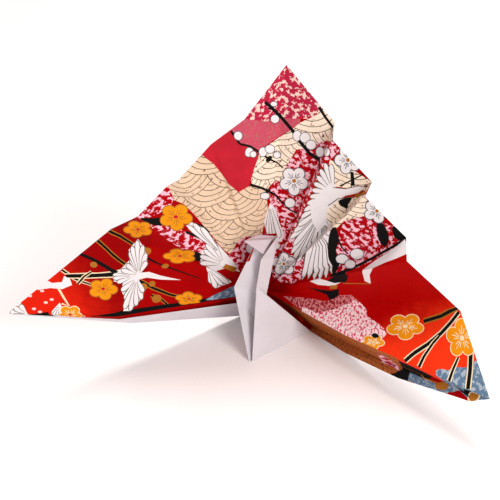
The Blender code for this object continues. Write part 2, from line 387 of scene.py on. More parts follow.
class Drawing:
    """Outlines on the flat sheet, each of one colour. What is drawn later lies on top.

    Most places are given as the photograph shows them, in its pixels, and are carried back
    to the flat sheet through the facet that is seen there. Widths and radii are in millimetres.
    """

    def __init__(self, folding):
        self.flat = folding.seen
        self.shapes = []
        self.field = None
        self.dice = random.Random(SCALE_SEED)

    def add(self, colour, outline):
        """An outline of flat places, which shows only inside the field if one is set."""
        self.shapes.append((colour, outline, self.field))

    def table(self, rows):
        """Draw each row of a table: a method's name, its values and, at the end, any options."""
        for method, *values in rows:
            options = values.pop() if isinstance(values[-1], dict) else {}
            getattr(self, method)(*values, **options)

    def scales(self, colour, *seen):
        """A field of wave scales that the photograph shows inside these pixels."""
        self.scale_field(colour, "line", [self.flat(point) for point in seen], SCALE_SIZE)

    def scale_field(self, colour, ink, field, size):
        """A field of overlapping wave scales, each row lying on the row below it."""
        radius, step = size
        self.field = field
        self.add(colour, self.field)
        left, right = (side(point.x for point in self.field) for side in (min, max))
        low, high = (side(point.y for point in self.field) for side in (min, max))
        rows = int((high - low + radius) / (radius * SCALE_ROW_PITCH)) + 1
        radii = [radius - step * i for i in range(int(radius / step))]
        near = radius * 0.9
        for row in range(rows):
            y = low + row * radius * SCALE_ROW_PITCH
            x = left - radius * (1 + SCALE_SHIFT * (row % 2))
            while x < right + radius:
                strayed = [at + self.dice.uniform(-far, far) for at, far in zip((x, y), SCALE_STRAY)]
                centre = Vector(strayed)
                tests = [(centre.x + near * math.cos(a), centre.y - near * math.sin(a)) for a in SCALE_TESTS]
                if inside(self.field, np.array([tuple(centre), *tests])).any():
                    self.disc(colour, centre, radius, points=28)
                    self.arcs(ink, centre, radii)
                x += radius * SCALE_PITCH
        self.field = None

    def region(self, colour, *seen):
        """An outline through these pixels."""
        self.add(colour, [self.flat(point) for point in seen])

    def smooth(self, colour, *seen):
        """A region whose corners are rounded."""
        corners = [self.flat(point) for point in seen]
        outline = []
        turned = [corners[shift:] + corners[:shift] for shift in (-1, 0, 1, 2)]
        for before, here, after, next_one in zip(*turned):
            for t in (0.0, 0.25, 0.5, 0.75):
                outline.append(
                    0.5
                    * (
                        2 * here
                        + (after - before) * t
                        + (2 * before - 5 * here + 4 * after - next_one) * t * t
                        + (3 * here - before - 3 * after + next_one) * t**3
                    )
                )
        self.add(colour, outline)

    def strip(self, colour, centres, widths):
        """A stroke along flat places, with its width at each."""
        left, right = [], []
        for i, here in enumerate(centres):
            way = centres[min(i + 1, len(centres) - 1)] - centres[max(i - 1, 0)]
            if way.length < NO_STEP:
                return
            side = Vector((-way.y, way.x)).normalized() * widths[i] / 2
            left.append(here + side)
            right.append(here - side)
        self.add(colour, left + right[::-1])

    def stroke(self, colour, width, *seen, taper=1.0):
        """A stroke through these pixels, from its full width to taper times it."""
        centres = [self.flat(point) for point in seen]
        last = len(centres) - 1
        self.strip(colour, centres, [width * (1 + (taper - 1) * i / last) for i in range(last + 1)])

    def branch(self, width, *seen, taper=0.7, edge=None):
        """A dark branch through these pixels, with a thin edge of another ink where one is named."""
        if edge:
            self.stroke(edge, width + BRANCH_EDGE, *seen, taper=taper)
        self.stroke("ink", width, *seen, taper=taper)

    def disc(self, colour, centre, radius, points=12):
        """A disc round a flat place."""
        angles = [math.tau * i / points for i in range(points)]
        self.add(colour, [centre + Vector((radius * math.cos(a), radius * math.sin(a))) for a in angles])

    def dot(self, colour, seen, radius):
        """A disc round what the photograph shows at this pixel."""
        self.disc(colour, self.flat(seen), radius)

    def oval(self, colour, seen, wide, high, points=14):
        """An oval that looks this wide and high from each side of its middle, in pixels."""
        angles = [math.tau * i / points for i in range(points)]
        self.region(colour, *[(seen[0] + wide * math.cos(a), seen[1] + high * math.sin(a)) for a in angles])

    def blossom(self, colour, edge, seen, wide, high, turn=0.0, heart="gold"):
        """A plum blossom: five round petals with an edge, fine stamens and a round heart."""
        around = [turn + math.tau * i / 5 for i in range(5)]
        for grow, ink in ((PETAL_EDGE, edge), (0.0, colour)):
            for a in around:
                petal = (seen[0] + wide * PETAL_OUT * math.cos(a), seen[1] + high * PETAL_OUT * math.sin(a))
                self.oval(ink, petal, wide * PETAL_SIZE + grow, high * PETAL_SIZE + grow)
        self.oval(colour, seen, wide * MIDDLE_SIZE, high * MIDDLE_SIZE)
        for a in around:
            for lean, reach in STAMENS:
                east, south = wide * math.cos(a + lean), high * math.sin(a + lean)
                ends = [(seen[0] + east * r, seen[1] + south * r) for r in (STAMEN_START, reach)]
                self.stroke(edge, STAMEN_WIDTH, *ends)
        self.oval(heart, seen, wide * HEART_SIZE, high * HEART_SIZE, points=8)

    def bud(self, seen, wide, high):
        """A round white bud with a dark edge."""
        self.oval("slate", seen, wide + BUD_EDGE, high + BUD_EDGE)
        self.oval("white", seen, wide, high)

    def arcs(self, ink, centre, radii, width=0.3):
        """Nested half circles below a flat place, as in a wave pattern."""
        for radius in radii:
            steps = max(4, int(radius * math.pi / 1.5))
            angles = [math.pi + math.pi * i / steps for i in range(steps + 1)]
            centres = [centre + Vector((math.cos(a), math.sin(a))) * radius for a in angles]
            self.strip(ink, centres, [width] * len(centres))

    def feathers(self, root, tips, wide=2.3):
        """Overlapping feathers from a wing's root to their tips, this many pixels wide from the quill."""
        root = Vector(root)
        for tip in tips:
            way = Vector(tip) - root
            across = Vector((-way.y, way.x)).normalized() * wide
            for grow, ink in ((1.0, "line"), (0.0, "white")):
                longer, wider = grow * 0.6 / way.length, 1 + grow * 0.45 / wide
                side = [(along + longer, out * wider + grow * 0.12) for along, out in FEATHER_SHAPE]
                near = [root + way * along + across * out for along, out in side]
                far = [root + way * along - across * out for along, out in side[:-1]]
                self.region(ink, *near, *far[::-1])


# The print's tables, from the lowest layer to the highest. Their places are the photograph's pixels.

# The large fields of colour.
FIELDS = (
    # The right wing's red is graded as painted light, dark high up and bright towards the tip.
    ("region", "right_red", (283, 296), (300, 283), (350, 268), (380, 256), (405, 236), (412, 258),
        (470, 308), (500, 402), (404, 366), (300, 318)),
    # The left wing's red is graded as painted shade, bright near the tip and dark towards the body.
    ("region", "left_red", (-4, 316), (16, 300), (64, 262), (110, 224), (138, 212), (152, 240),
        (150, 270), (120, 322), (60, 324)),
    ("region", "speckle", (286, 56), (332, 104), (320, 113), (309, 119), (299, 119), (284, 119),
        (272, 122), (247, 121), (232, 120)),
    ("region", "raspberry", (225, 133), (236, 118), (247, 119), (262, 121), (274, 122),
        (284, 118), (300, 119), (300, 123), (292, 129), (280, 136),
        (268, 144), (260, 151), (250, 147), (239, 142), (231, 131)),
    ("region", "crimson", (231, 129), (239, 142), (250, 147), (258, 152), (258, 158), (254, 168), (251, 180),
        (248, 186), (238, 190), (228, 182), (220, 172), (212, 162),
        (205, 157), (194, 158), (204, 144), (215, 136)),
    ("scales", "cream", (324, 102), (318, 114), (309, 119), (300, 123), (291, 130), (280, 137), (270, 144),
        (260, 151), (258, 158), (254, 168), (251, 180), (252, 184), (262, 190),
        (268, 188), (276, 180), (283, 183), (284, 170), (290, 160), (296, 150), (305, 148),
        (318, 144), (332, 141), (342, 132), (340, 116)),
    ("scales", "shaded_cream", (196, 150), (206, 158), (213, 163), (221, 173), (229, 183), (238, 190),
        (248, 186), (252, 183), (264, 190), (269, 188), (273, 194), (267, 200), (268, 212), (264, 224),
        (262, 233), (252, 236), (244, 237), (237, 242), (230, 254), (224, 250), (214, 238), (204, 226),
        (194, 214), (184, 204), (174, 200), (162, 188), (154, 180), (170, 172)),
    ("region", "fleck", (237, 242), (244, 237), (252, 236), (262, 233), (264, 240), (262, 262),
        (248, 272), (236, 268), (229, 255)),
    ("region", "fleck", (296, 150), (305, 148), (318, 143), (332, 141), (344, 146), (338, 152), (330, 160),
        (322, 168), (318, 180), (312, 192), (303, 210), (296, 226), (292, 238), (290, 256), (276, 272),
        (266, 262), (264, 240), (270, 238), (279, 232), (276, 215), (270, 200), (268, 190), (276, 181),
        (284, 183), (284, 170), (290, 160)),
    ("region", "fleck", (290, 238), (300, 236), (312, 250), (312, 262), (306, 276), (292, 284),
        (276, 282), (270, 270), (282, 256)),
    ("scales", "cream", (330, 160), (350, 168), (372, 182), (366, 192), (352, 189), (336, 187), (326, 180)),
    ("scales", "cream", (318, 214), (328, 206), (338, 199), (352, 198), (366, 194), (372, 204),
        (366, 216), (352, 219), (344, 221), (337, 228), (330, 230), (320, 226)),
    ("region", "fleck", (344, 221), (352, 219), (362, 217), (374, 222), (388, 224), (398, 226),
        (410, 238), (398, 246), (380, 256), (365, 264), (350, 270),
        (338, 275), (333, 268), (333, 255), (338, 240), (341, 230)),
    ("region", "fleck", (152, 196), (168, 186), (174, 198), (170, 208), (160, 213),
        (150, 217), (136, 219), (142, 206)),
    ("region", "fleck", (146, 219), (162, 222), (186, 232), (206, 241), (214, 250), (200, 258),
        (186, 252), (168, 240), (152, 228)),
)
# The crane on the right of the fan, and the small bird behind the head.
FAN_CRANES = (
    ("feathers", (334, 193), ((298, 224), (301, 218), (304, 211), (307, 204), (310, 197), (312, 190),
        (314, 183), (317, 176), (320, 169), (325, 163), (331, 164))),
    ("feathers", (324, 208), ((292, 262), (291, 254), (293, 246), (290, 239), (294, 232), (298, 226),
        (298, 262), (305, 258), (311, 250))),
    ("feathers", (323, 214), ((302, 280), (308, 279), (314, 280), (320, 280), (326, 278), (332, 274),
        (333, 262), (331, 248), (330, 236))),
    ("region", "white", (310, 205), (322, 190), (333, 182), (336, 188), (346, 189), (360, 186), (365, 188),
        (358, 193), (345, 196), (336, 202), (328, 210), (326, 224), (318, 232), (312, 222)),
    ("stroke", "line", 0.35, (333, 188), (345, 189), (358, 186), (366, 187)),
    ("stroke", "line", 0.35, (328, 206), (338, 199), (352, 197), (366, 194)),
    ("stroke", "gold", 1.8, (356, 197), (366, 191)),
    ("region", "white", (270, 203), (275, 208), (279, 222), (283, 232), (282, 242), (272, 240),
        (266, 233), (264, 222), (267, 212)),
    ("feathers", (270, 204), ((268, 234), (272, 238), (276, 240), (280, 238))),
)
# The fan's branches, and the blossoms on them.
FAN_BRANCHES = (
    ("branch", 1.1, (265, 102), (272, 108), (281, 117), (292, 130), (300, 142), 
        (310, 154), (320, 170), {"taper": 1.5}),
    ("branch", 0.8, (272, 108), (267, 104)),
    ("branch", 1.2, (319, 107), (326, 118), (332, 133), (333, 140)),
    ("branch", 0.9, (231, 131), (239, 142), (250, 146), (259, 152), (269, 159), (283, 168)),
    ("branch", 1.0, (250, 184), (262, 188), (272, 193), (282, 202), (290, 210), (299, 219)),
    ("branch", 1.2, (352, 172), (353, 186), {"taper": 1.2}),
    ("branch", 0.6, (341, 186), (360, 176), (371, 170)),
    ("dot", "ink", (269, 159), 1.4),
    ("dot", "ink", (271, 107), 1.1),
    ("dot", "ink", (268, 191), 1.1),
    ("smooth", "ink", (340, 200), (352, 198), (348, 206), (346, 213), (341, 206)),
    ("smooth", "ink", (331, 230), (336, 228), (339, 240), (336, 252), (338, 268), (332, 274),
        (329, 260), (328, 244)),
    ("stroke", "ink", 0.8, (337, 238), (342, 248), (348, 254)),
    ("smooth", "ink", (377, 223), (384, 225), (389, 238), (384, 247), (378, 238)),
    ("smooth", "ink", (393, 226), (406, 234), (405, 241), (395, 238)),
    ("stroke", "ink", 1.2, (330, 276), (352, 268), (372, 258), (392, 247), (405, 239)),
    ("blossom", "white", "slate", (294, 181), 14, 14, 0.3),
    ("blossom", "white", "slate", (348, 160), 13, 14, 0.6),
    ("blossom", "white", "slate", (377, 211), 13, 12, 0.1),
    ("blossom", "white", "slate", (284, 264), 12, 11, 0.9),
)
# The fan's white buds: where each is, and how far it looks to reach across and up.
FAN_BUDS = (
    ((342, 259), 6, 4.5), ((350, 264), 5, 4), ((357, 254), 6.5, 5), ((250, 248), 4, 5), ((276, 246), 4, 3),
    ((238, 135), 4, 4), ((249, 152), 4, 4.5), ((253, 154), 3, 3), ((263, 152), 4, 4.5), ((270, 149), 4.5, 4),
    ((277, 155), 3.5, 3), ((275, 119), 4, 4), ((274, 104), 3, 2.2), ((297, 136), 4, 5), ((305, 138), 5, 5),
    ((311, 145), 5, 4.5), ((265, 196), 4.5, 3), ((290, 203), 5, 4.5), ((327, 152), 3, 4), ((320, 152), 4, 5),
)
# The right wing: white and dark shapes near the fan, clouds, branches and orange blossoms.
RIGHT_WING = (
    ("region", "white", (405, 239), (409, 253), (396, 258), (384, 262), (373, 268), (369, 276), (370, 285),
        (364, 282), (362, 274), (365, 267), (375, 260), (388, 252), (398, 245)),
    ("stroke", "gold", 0.4, (342, 285), (364, 285), (370, 285)),
    ("region", "white", (310, 281), (320, 278), (330, 282), (340, 284), (332, 287), (318, 285)),
    ("region", "ink", (327, 281), (336, 275), (345, 271), (348, 276), (345, 284), (334, 284)),
    ("region", "ink", (306, 287), (318, 290), (330, 292), (338, 290), (337, 300), (329, 302), (326, 296)),
    ("region", "gold", (330, 286), (337, 286), (336, 290), (329, 290)),
    ("region", "shaded_cloud", (283, 296), (296, 297), (310, 298), (325, 301), (338, 297), (350, 297),
        (359, 302), (356, 312), (342, 318), (330, 326), (302, 311), (292, 303)),
    ("region", "cloud", (300, 306), (318, 313), (336, 308), (352, 300), (359, 302), (365, 309), (366, 316),
        (376, 322), (383, 328), (386, 334), (380, 341), (366, 345), (340, 334), (320, 323)),
    ("region", "slate_blue", (440, 384), (456, 390), (480, 396), (476, 406), (444, 398)),
    ("branch", 1.3, (405, 361), (414, 353), (427, 344), (440, 333), (450, 323), (459, 312),
        {"taper": 0.9, "edge": "pale"}),
    ("branch", 1.1, (419, 367), (424, 356), (432, 343), (438, 336), {"edge": "pale"}),
    ("branch", 1.1, (422, 321), (440, 316), (458, 308), {"taper": 1.0, "edge": "gold"}),
    ("smooth", "slate_blue", (436, 374), (441, 369), (448, 370), (456, 367), (466, 367), (482, 361),
        (496, 400), (488, 406), (462, 402), (448, 390)),
    ("branch", 1.1, (449, 381), (453, 369), (458, 357), {"edge": "pale"}),
    ("branch", 1.5, (468, 389), (470, 370), (471, 351), {"taper": 1.0, "edge": "pale"}),
    ("dot", "ink", (468, 391), 1.6),
    ("dot", "pale", (474, 396), 2.2),
    ("dot", "gold", (474, 396), 1.7),
    ("blossom", "orange", "pale", (404, 326), 18, 13, 0.25, "pale"),
    ("blossom", "orange", "pale", (462, 338), 16, 19, 0.9, "pale"),
    ("blossom", "orange", "pale", (373, 342), 11, 7, 0.2, "pale"),
    ("smooth", "ink", (371, 335), (375, 333), (379, 336), (375, 338)),
)
# The left wing's branches, its dark patches, a dark strip of painted shade along its lower edge, and what is
# drawn near its tip.
LEFT_WING = (
    ("branch", 1.0, (62, 270), (75, 279), (90, 285), (104, 292), {"edge": "pale"}),
    ("branch", 1.6, (66, 276), (84, 276), (104, 276), (122, 274), {"edge": "pale", "taper": 1.4}),
    ("branch", 0.9, (78, 284), (84, 277), (92, 272), {"edge": "pale"}),
    ("branch", 1.5, (78, 253), (92, 259), (106, 267), (122, 276), {"taper": 1.2}),
    ("branch", 1.2, (97, 240), (108, 250), (120, 261), (130, 268), {"edge": "gold"}),
    ("branch", 1.2, (108, 230), (120, 236), (134, 245), {"edge": "gold"}),
    ("branch", 1.0, (146, 258), (160, 265), (180, 272), (200, 279), {"taper": 0.5}),
    ("branch", 1.3, (140, 282), (154, 289), (170, 295), (196, 300), {"edge": "gold", "taper": 0.6}),
    ("branch", 0.9, (152, 296), (162, 300), (170, 307), {"edge": "gold"}),
    ("branch", 1.0, (186, 232), (200, 238), (212, 243), {"taper": 0.8}),
    ("smooth", "ink", (140, 218), (152, 218), (168, 218), (164, 225), (150, 224)),
    ("smooth", "ink", (190, 222), (202, 225), (210, 232), (204, 231)),
    ("smooth", "ink", (188, 253), (198, 252), (204, 258), (196, 261)),
    # A dark strip along the wing's lower edge, as painted shade.
    ("region", "ink", (236, 290), (200, 300), (160, 305), (120, 311), (88, 317), (88, 320),
        (130, 316), (180, 308), (240, 298)),
    ("smooth", "slate_blue", (206, 300), (222, 292), (240, 284), (242, 296), (226, 299)),
    ("region", "white", (44, 279), (52, 283), (62, 282), (64, 276), (70, 279), (72, 285),
        (62, 289), (50, 288), (38, 290), (34, 286)),
    ("region", "white", (2, 312), (18, 300), (24, 307), (28, 315), (28, 322), (4, 322)),
    ("feathers", (27, 314), ((10, 312), (14, 308), (12, 317), (18, 318), (20, 305))),
    ("region", "ink", (28, 315), (48, 312), (52, 322), (30, 324)),
    ("region", "white", (50, 322), (52, 311), (60, 303), (64, 312), (62, 324)),
    ("feathers", (60, 305), ((53, 318), (57, 319), (61, 319))),
    ("stroke", "pale", 0.9, (58, 288), (64, 298), (69, 306), (62, 304)),
    ("blossom", "orange", "pale", (70, 315), 12, 9, 0.3, "crimson"),
)
# Pale spots near the left wing's tip, and how far each looks to reach across and up.
PALE_SPOTS = ((30, 296), (42, 291), (52, 300), (34, 309), (46, 303), (40, 312))
PALE_SPOT_REACH = (2.2, 1.3)
LEFT_BLOSSOMS = (
    ("blossom", "orange", "gold", (176, 217),16, 13, 0.2, "crimson"),
    ("blossom", "orange", "gold", (138, 229), 14, 8, 0.5, "crimson"),
    ("blossom", "orange", "gold", (180, 256), 16, 7, 0.6, "crimson"),
    ("blossom", "orange", "gold", (104, 290), 14, 10, 0.1, "crimson"),
    ("blossom", "orange", "gold", (189, 299), 13, 6, 0.9, "crimson"),
    ("dot", "gold", (144, 288), 1.8),
    ("dot", "gold", (153, 285), 1.4),
    ("dot", "gold", (157, 299), 2.0),
    ("dot", "gold", (94, 265), 1.5),
    ("dot", "gold", (166, 267), 1.4),
    ("dot", "gold", (146, 252), 2.2),
)
# The two cranes on the left wing.
LEFT_CRANES = (
    ("region", "white", (138, 239), (143, 246), (147, 256), (148, 263), (143, 270), (140, 274), (150, 273),
        (162, 277), (183, 282), (162, 281), (148, 279), (140, 281), (144, 290), (144, 297), (138, 303),
        (130, 311), (123, 311), (127, 301), (122, 292), (124, 284), (115, 283), (114, 277), (120, 272),
        (126, 265), (131, 260), (129, 250), (132, 246)),
    ("feathers", (140, 276), ((122, 271), (127, 265), (131, 259), (130, 252), (132, 246), (137, 240),
        (143, 245), (147, 254), (147, 262))),
    ("feathers", (138, 280), ((122, 292), (125, 300), (124, 309), (130, 311), (136, 306),
        (142, 300), (144, 293))),
    ("feathers", (134, 278), ((114, 276), (114, 280), (118, 284)), 1.8),
    ("region", "white", (186, 226), (192, 222), (204, 228), (212, 237), (222, 249), (234, 262), (240, 272),
        (226, 268), (216, 271), (200, 263), (202, 252), (208, 243), (203, 238), (194, 232)),
    ("feathers", (224, 264), ((200, 263), (200, 256), (204, 250), (206, 244), (212, 240))),
    ("feathers", (222, 254), ((187, 225), (193, 223), (201, 227))),
    ("stroke", "gold", 2.2, (224, 266), (236, 270)),
    ("region", "white", (206, 267), (214, 270), (222, 275), (232, 282), (217, 289), (212, 280), (208, 273)),
    ("feathers", (208, 268), ((212, 284), (217, 289), (223, 286), (229, 284))),
)
# Inside the right wing's pocket: the print on the wave scales there, with dark strokes and a dark patch as
# painted shade along the pocket's shadowed crease.
POCKET = (
    ("region", "fleck", (378, 360), (392, 367), (402, 372), (400, 382), (384, 378), (374, 370)),
    # Two dark strokes and a dark patch, as painted shade along the crease inside the pocket.
    ("stroke", "ink", 0.6, (350, 350), (372, 360), (394, 370)),
    ("stroke", "ink", 0.5, (362, 352), (380, 360), (396, 366)),
    ("region", "ink", (398, 360), (420, 370), (440, 380), (462, 392), (470, 398), (470, 404),
        (430, 394), (398, 381), (388, 376)),
    ("region", "slate_blue", (410, 372), (430, 381), (450, 390), (446, 394), (424, 388), (408, 380)),
    ("oval", "gold", (442, 386), 7, 4),
    ("stroke", "gold", 0.4, (402, 366), (424, 378), (440, 384)),
)
# How much of the wing's fold and of its free edge the pocket's scales take up.
POCKET_FOLD, POCKET_EDGE = 0.62, 0.40
# How much of the way from the sheet's lower corner to the foot is the white head, drawn in a darker white as
# painted shade.
HEAD_REACH = 0.25


def draw_print(draw):
    """The whole print, from the red ground to what lies on top of it."""
    draw.add("red", [Vector(corner) for corner in (SHEET_TOP, SHEET_LEFT, SHEET_BOTTOM, SHEET_RIGHT)])
    draw.table(FIELDS + FAN_CRANES + FAN_BRANCHES)
    for seen, wide, high in FAN_BUDS:
        draw.bud(seen, wide, high)
    draw.table(RIGHT_WING + LEFT_WING)
    for seen in PALE_SPOTS:
        draw.oval("cloud_white", seen, *PALE_SPOT_REACH, points=7)
    draw.table(LEFT_BLOSSOMS + LEFT_CRANES)
    wing_fold = between((0.0, 0.0), SHEET_RIGHT, POCKET_FOLD)
    free_edge = between(SHEET_RIGHT, EDGE_RIGHT, POCKET_EDGE)
    pocket = [Vector(place) for place in ((0.0, 0.0), wing_fold, free_edge, EDGE_RIGHT, INNER_RIGHT)]
    # The pocket's scales are a brown that stands for cream in painted shade.
    draw.scale_field("pocket_cream_painted_shade", "ink", pocket, POCKET_SCALE_SIZE)
    draw.table(POCKET)
    # The white head, in a darker white that is painted shade.
    corner = between(SHEET_BOTTOM, INNER_RIGHT, HEAD_REACH)
    draw.add("head_white_painted_shade", [Vector(SHEET_BOTTOM), Vector(corner), Vector((-corner[0], corner[1]))])


# The paper

# How far apart the points are that keep triangles small, how those of a second row are shifted, and
# how far they start into their squares, as shares of the step. They stay this far inside the sheet.
GRID_STEP = 4.0
GRID_SHIFT = 0.5
GRID_START = (0.25, 0.3)
GRID_MARGIN = 1.0
SLIVER_REACH = 0.003
# Flat places are joined when they agree to this many digits, and cut this finely, in millimetres.
PLACE_DIGITS = 3
CUT_PRECISION = 1e-5
# An edge between triangles that turns by more degrees than this is a sharp fold.
SHARP_FOLD = 14


def grid_points():
    """Points all over the sheet, well inside its edges, so that no triangle is large."""
    count = int(2 * HALF_DIAGONAL / GRID_STEP)
    points = []
    for column in range(count):
        for row in range(count):
            x = (column + GRID_SHIFT * (row % 2) + GRID_START[0]) * GRID_STEP - HALF_DIAGONAL
            y = (row + GRID_START[1]) * GRID_STEP - HALF_DIAGONAL
            if abs(x) + abs(y) < HALF_DIAGONAL - GRID_MARGIN:
                points.append((x, y))
    return points


def inside(outline, spots):
    """Which of these flat places lie inside an outline, counted by its turns round them."""
    near = np.all((spots >= np.min(outline, axis=0)) & (spots <= np.max(outline, axis=0)), axis=1)
    x, y = spots[near].T
    turns = np.zeros(len(x), dtype=int)
    for start, end in zip(outline, outline[1:] + outline[:1]):
        left = (end[0] - start[0]) * (y - start[1]) - (end[1] - start[1]) * (x - start[0]) > 0
        turns += (start[1] <= y) & (end[1] > y) & left
        turns -= (start[1] > y) & (end[1] <= y) & ~left
    found = np.zeros(len(spots), dtype=bool)
    found[near] = turns != 0
    return found


def cut_flat_sheet(folding, drawing):
    """The flat sheet's places, the facet of each, and its triangles, each with its ink."""
    points, index_of, edges = [], {}, []

    def index(point):
        key = (round(point[0], PLACE_DIGITS), round(point[1], PLACE_DIGITS))
        if key not in index_of:
            index_of[key] = len(points)
            points.append(Vector(key))
        return index_of[key]

    facet_outlines = [[folding.flat[name] for name in facet] for facet in folding.facets]
    for outline in facet_outlines + [outline for _, outline, _ in drawing.shapes]:
        corners = [index(point) for point in outline]
        edges += [pair for pair in zip(corners, corners[1:] + corners[:1]) if pair[0] != pair[1]]
    for line, _ in folding.creases:
        corners = [index(point) for point in line]
        edges += list(zip(corners, corners[1:]))
    for point in grid_points():
        index(point)
    verts, _, tris, _, _, _ = delaunay_2d_cdt(points, edges, [], 0, CUT_PRECISION, True)
    corners = np.array(verts)
    spots = corners[np.array(tris)].mean(axis=1)
    off_sheet = nearest_facets(facet_outlines, spots)[1]
    shape_at = np.full(len(tris), -1)
    for number, (_, outline, field) in enumerate(drawing.shapes):
        covered = inside(outline, spots)
        if field:
            covered &= inside(field, spots)
        shape_at[covered] = number
    # A sliver along the sheet's edge has no area when flat, but would span a fold once folded.
    sliver = np.abs(spots).sum(axis=1) > HALF_DIAGONAL - SLIVER_REACH
    kept = (shape_at >= 0) & ~off_sheet & ~sliver
    cut = [(tri, drawing.shapes[number][0]) for tri, number, keep in zip(tris, shape_at, kept) if keep]
    return verts, nearest_facets(facet_outlines, corners)[0], cut


def nearest_facets(outlines, spots):
    """The facet that holds each flat place, or else the nearest one, and which places are off the sheet."""
    nearest = np.zeros(len(spots), dtype=int)
    best = np.full(len(spots), -np.inf)
    for number, (a, b, c) in enumerate(outlines):
        ab, ac, (x, y) = b - a, c - a, (spots - np.array(a)).T
        area = ab.cross(ac)
        second, third = (x * ac.y - y * ac.x) / area, (ab.x * y - ab.y * x) / area
        least = np.minimum(np.minimum(second, third), 1 - second - third)
        nearest[least > best] = number
        best = np.maximum(best, least)
    return nearest, best < 0


def make_sheet(folding, drawing, materials):
    verts, facet_of, cut = cut_flat_sheet(folding, drawing)
    paper = bmesh.new()
    layer = paper.loops.layers.uv.new("flat_sheet")
    side_a, side_b = {}, {}
    slots = list(materials)
    for tri, _ in cut:
        for i in tri:
            if i not in side_a:
                printed, white = folding.carry(facet_of[i], verts[i])
                side_a[i] = paper.verts.new((printed + FOOT_TIP) * MM)
                side_b[i] = paper.verts.new((white + FOOT_TIP) * MM)
    for tri, colour in cut:
        for side, corners, slot in ((side_a, tri, colour), (side_b, tri[::-1], "white_side")):
            face = paper.faces.new([side[i] for i in corners])
            face.material_index = slots.index(slot)
            for loop, i in zip(face.loops, corners):
                loop[layer].uv = verts[i] / SHEET_SIDE
    edges = dict.fromkeys(pair for tri, _ in cut for pair in zip(tri, tri[1:] + tri[:1]))
    for start, end in edges:
        if (end, start) not in edges:
            face = paper.faces.new([side_a[start], side_b[start], side_b[end], side_a[end]])
            face.material_index = slots.index("white_side")
            for loop in face.loops:
                loop[layer].uv = verts[start] / SHEET_SIDE
    mesh = bpy.data.meshes.new("printed_sheet")
    paper.to_mesh(mesh)
    paper.free()
    for material in materials.values():
        mesh.materials.append(material)
    mesh.shade_smooth()
    mesh.set_sharp_from_angle(angle=math.radians(SHARP_FOLD))
    piece = bpy.data.objects.new("printed_sheet", mesh)
    bpy.context.scene.collection.objects.link(piece)
    return piece


# Materials

GLOSS = 0.02
# How unevenly ink soaks in: plain inks, white paper, and mixes of two inks.
INK_UNEVEN, WHITE_UNEVEN, MIX_UNEVEN = 0.6, 0.25, 0.4
WHITES = ("white_side", "head_white_painted_shade", "white")
SOAKED_SHADE = (0.80, 0.78, 0.78, 1.0)
# How softly a fleck's edge fades, as a share of the noise's range.
FLECK_EDGE = 0.02
# The noise under the ink, the paper's fibres and its wrinkles: size in millimetres, detail, roughness.
CLOUDY = (9.0, 4.0, 0.55)
FIBRES = (0.35, 3.0, 0.7)
WRINKLES = (5.0, 5.0, 0.5)

# Inks and papers, as screen colours out of 255.
INKS = {
    "red": (168, 2, 4),
    "crimson": (196, 36, 52),
    "pocket_cream_painted_shade": (194, 106, 54),
    # The pocket's wave scales: cream darkened to brown, as painted shade inside the pocket.
    "white": (238, 233, 234),
    "pale": (250, 228, 186),
    "line": (92, 78, 66),
    "slate": (70, 76, 86),
    "ink": (20, 20, 20),
    "gold": (176, 112, 40),
    "orange": (244, 152, 22),
    # The head's white paper, darker than the white side, as painted shade.
    "head_white_painted_shade": (206, 190, 197),
    "white_side": (216, 210, 215),
    "cloud_white": (250, 214, 210),
}
# Two inks stippled together: the ground, the flecks, their size in millimetres, and their share.
STIPPLED = {
    "cream": ((252, 234, 212), (110, 60, 48), 1.5, 0.36),
    # A darker copy of cream, as painted shade on the fan's left field.
    "shaded_cream": ((235, 206, 176), (120, 70, 56), 1.5, 0.35),
    "raspberry": ((202, 80, 102), (166, 122, 104), 1.0, 0.40),
    "speckle": ((186, 38, 70), (246, 214, 202), 2.0, 0.45),
    "fleck": ((176, 3, 18), (250, 196, 212), 2.1, 0.475),
    "cloud": ((220, 76, 104), (254, 228, 230), 0.9, 0.53),
    # A darker copy of cloud, as painted shade on the cloud's upper left.
    "shaded_cloud": ((150, 36, 44), (218, 130, 134), 0.9, 0.50),
    "slate_blue": ((98, 124, 150), (168, 182, 194), 1.6, 0.46),
}
# Reds graded from one colour to another, between two places given in the photograph's pixels. The grading is
# painted light and shade: the right wing's red is darker high up and brighter towards its tip, and the left
# wing's red is brighter near its tip and darker towards the body.
GRADED = {
    "right_red": ((180, 1, 2), (252, 56, 22), (408, 302), (416, 342)),
    "left_red": ((224, 34, 13), (150, 2, 4), (50, 298), (104, 272)),
}


def linear(colour):
    """A screen colour as Blender's linear colour."""
    steps = [c / 255 for c in colour]
    return tuple(s / 12.92 if s < 10.3 / 255 else ((s + 0.055) / 1.055) ** 2.4 for s in steps) + (1.0,)


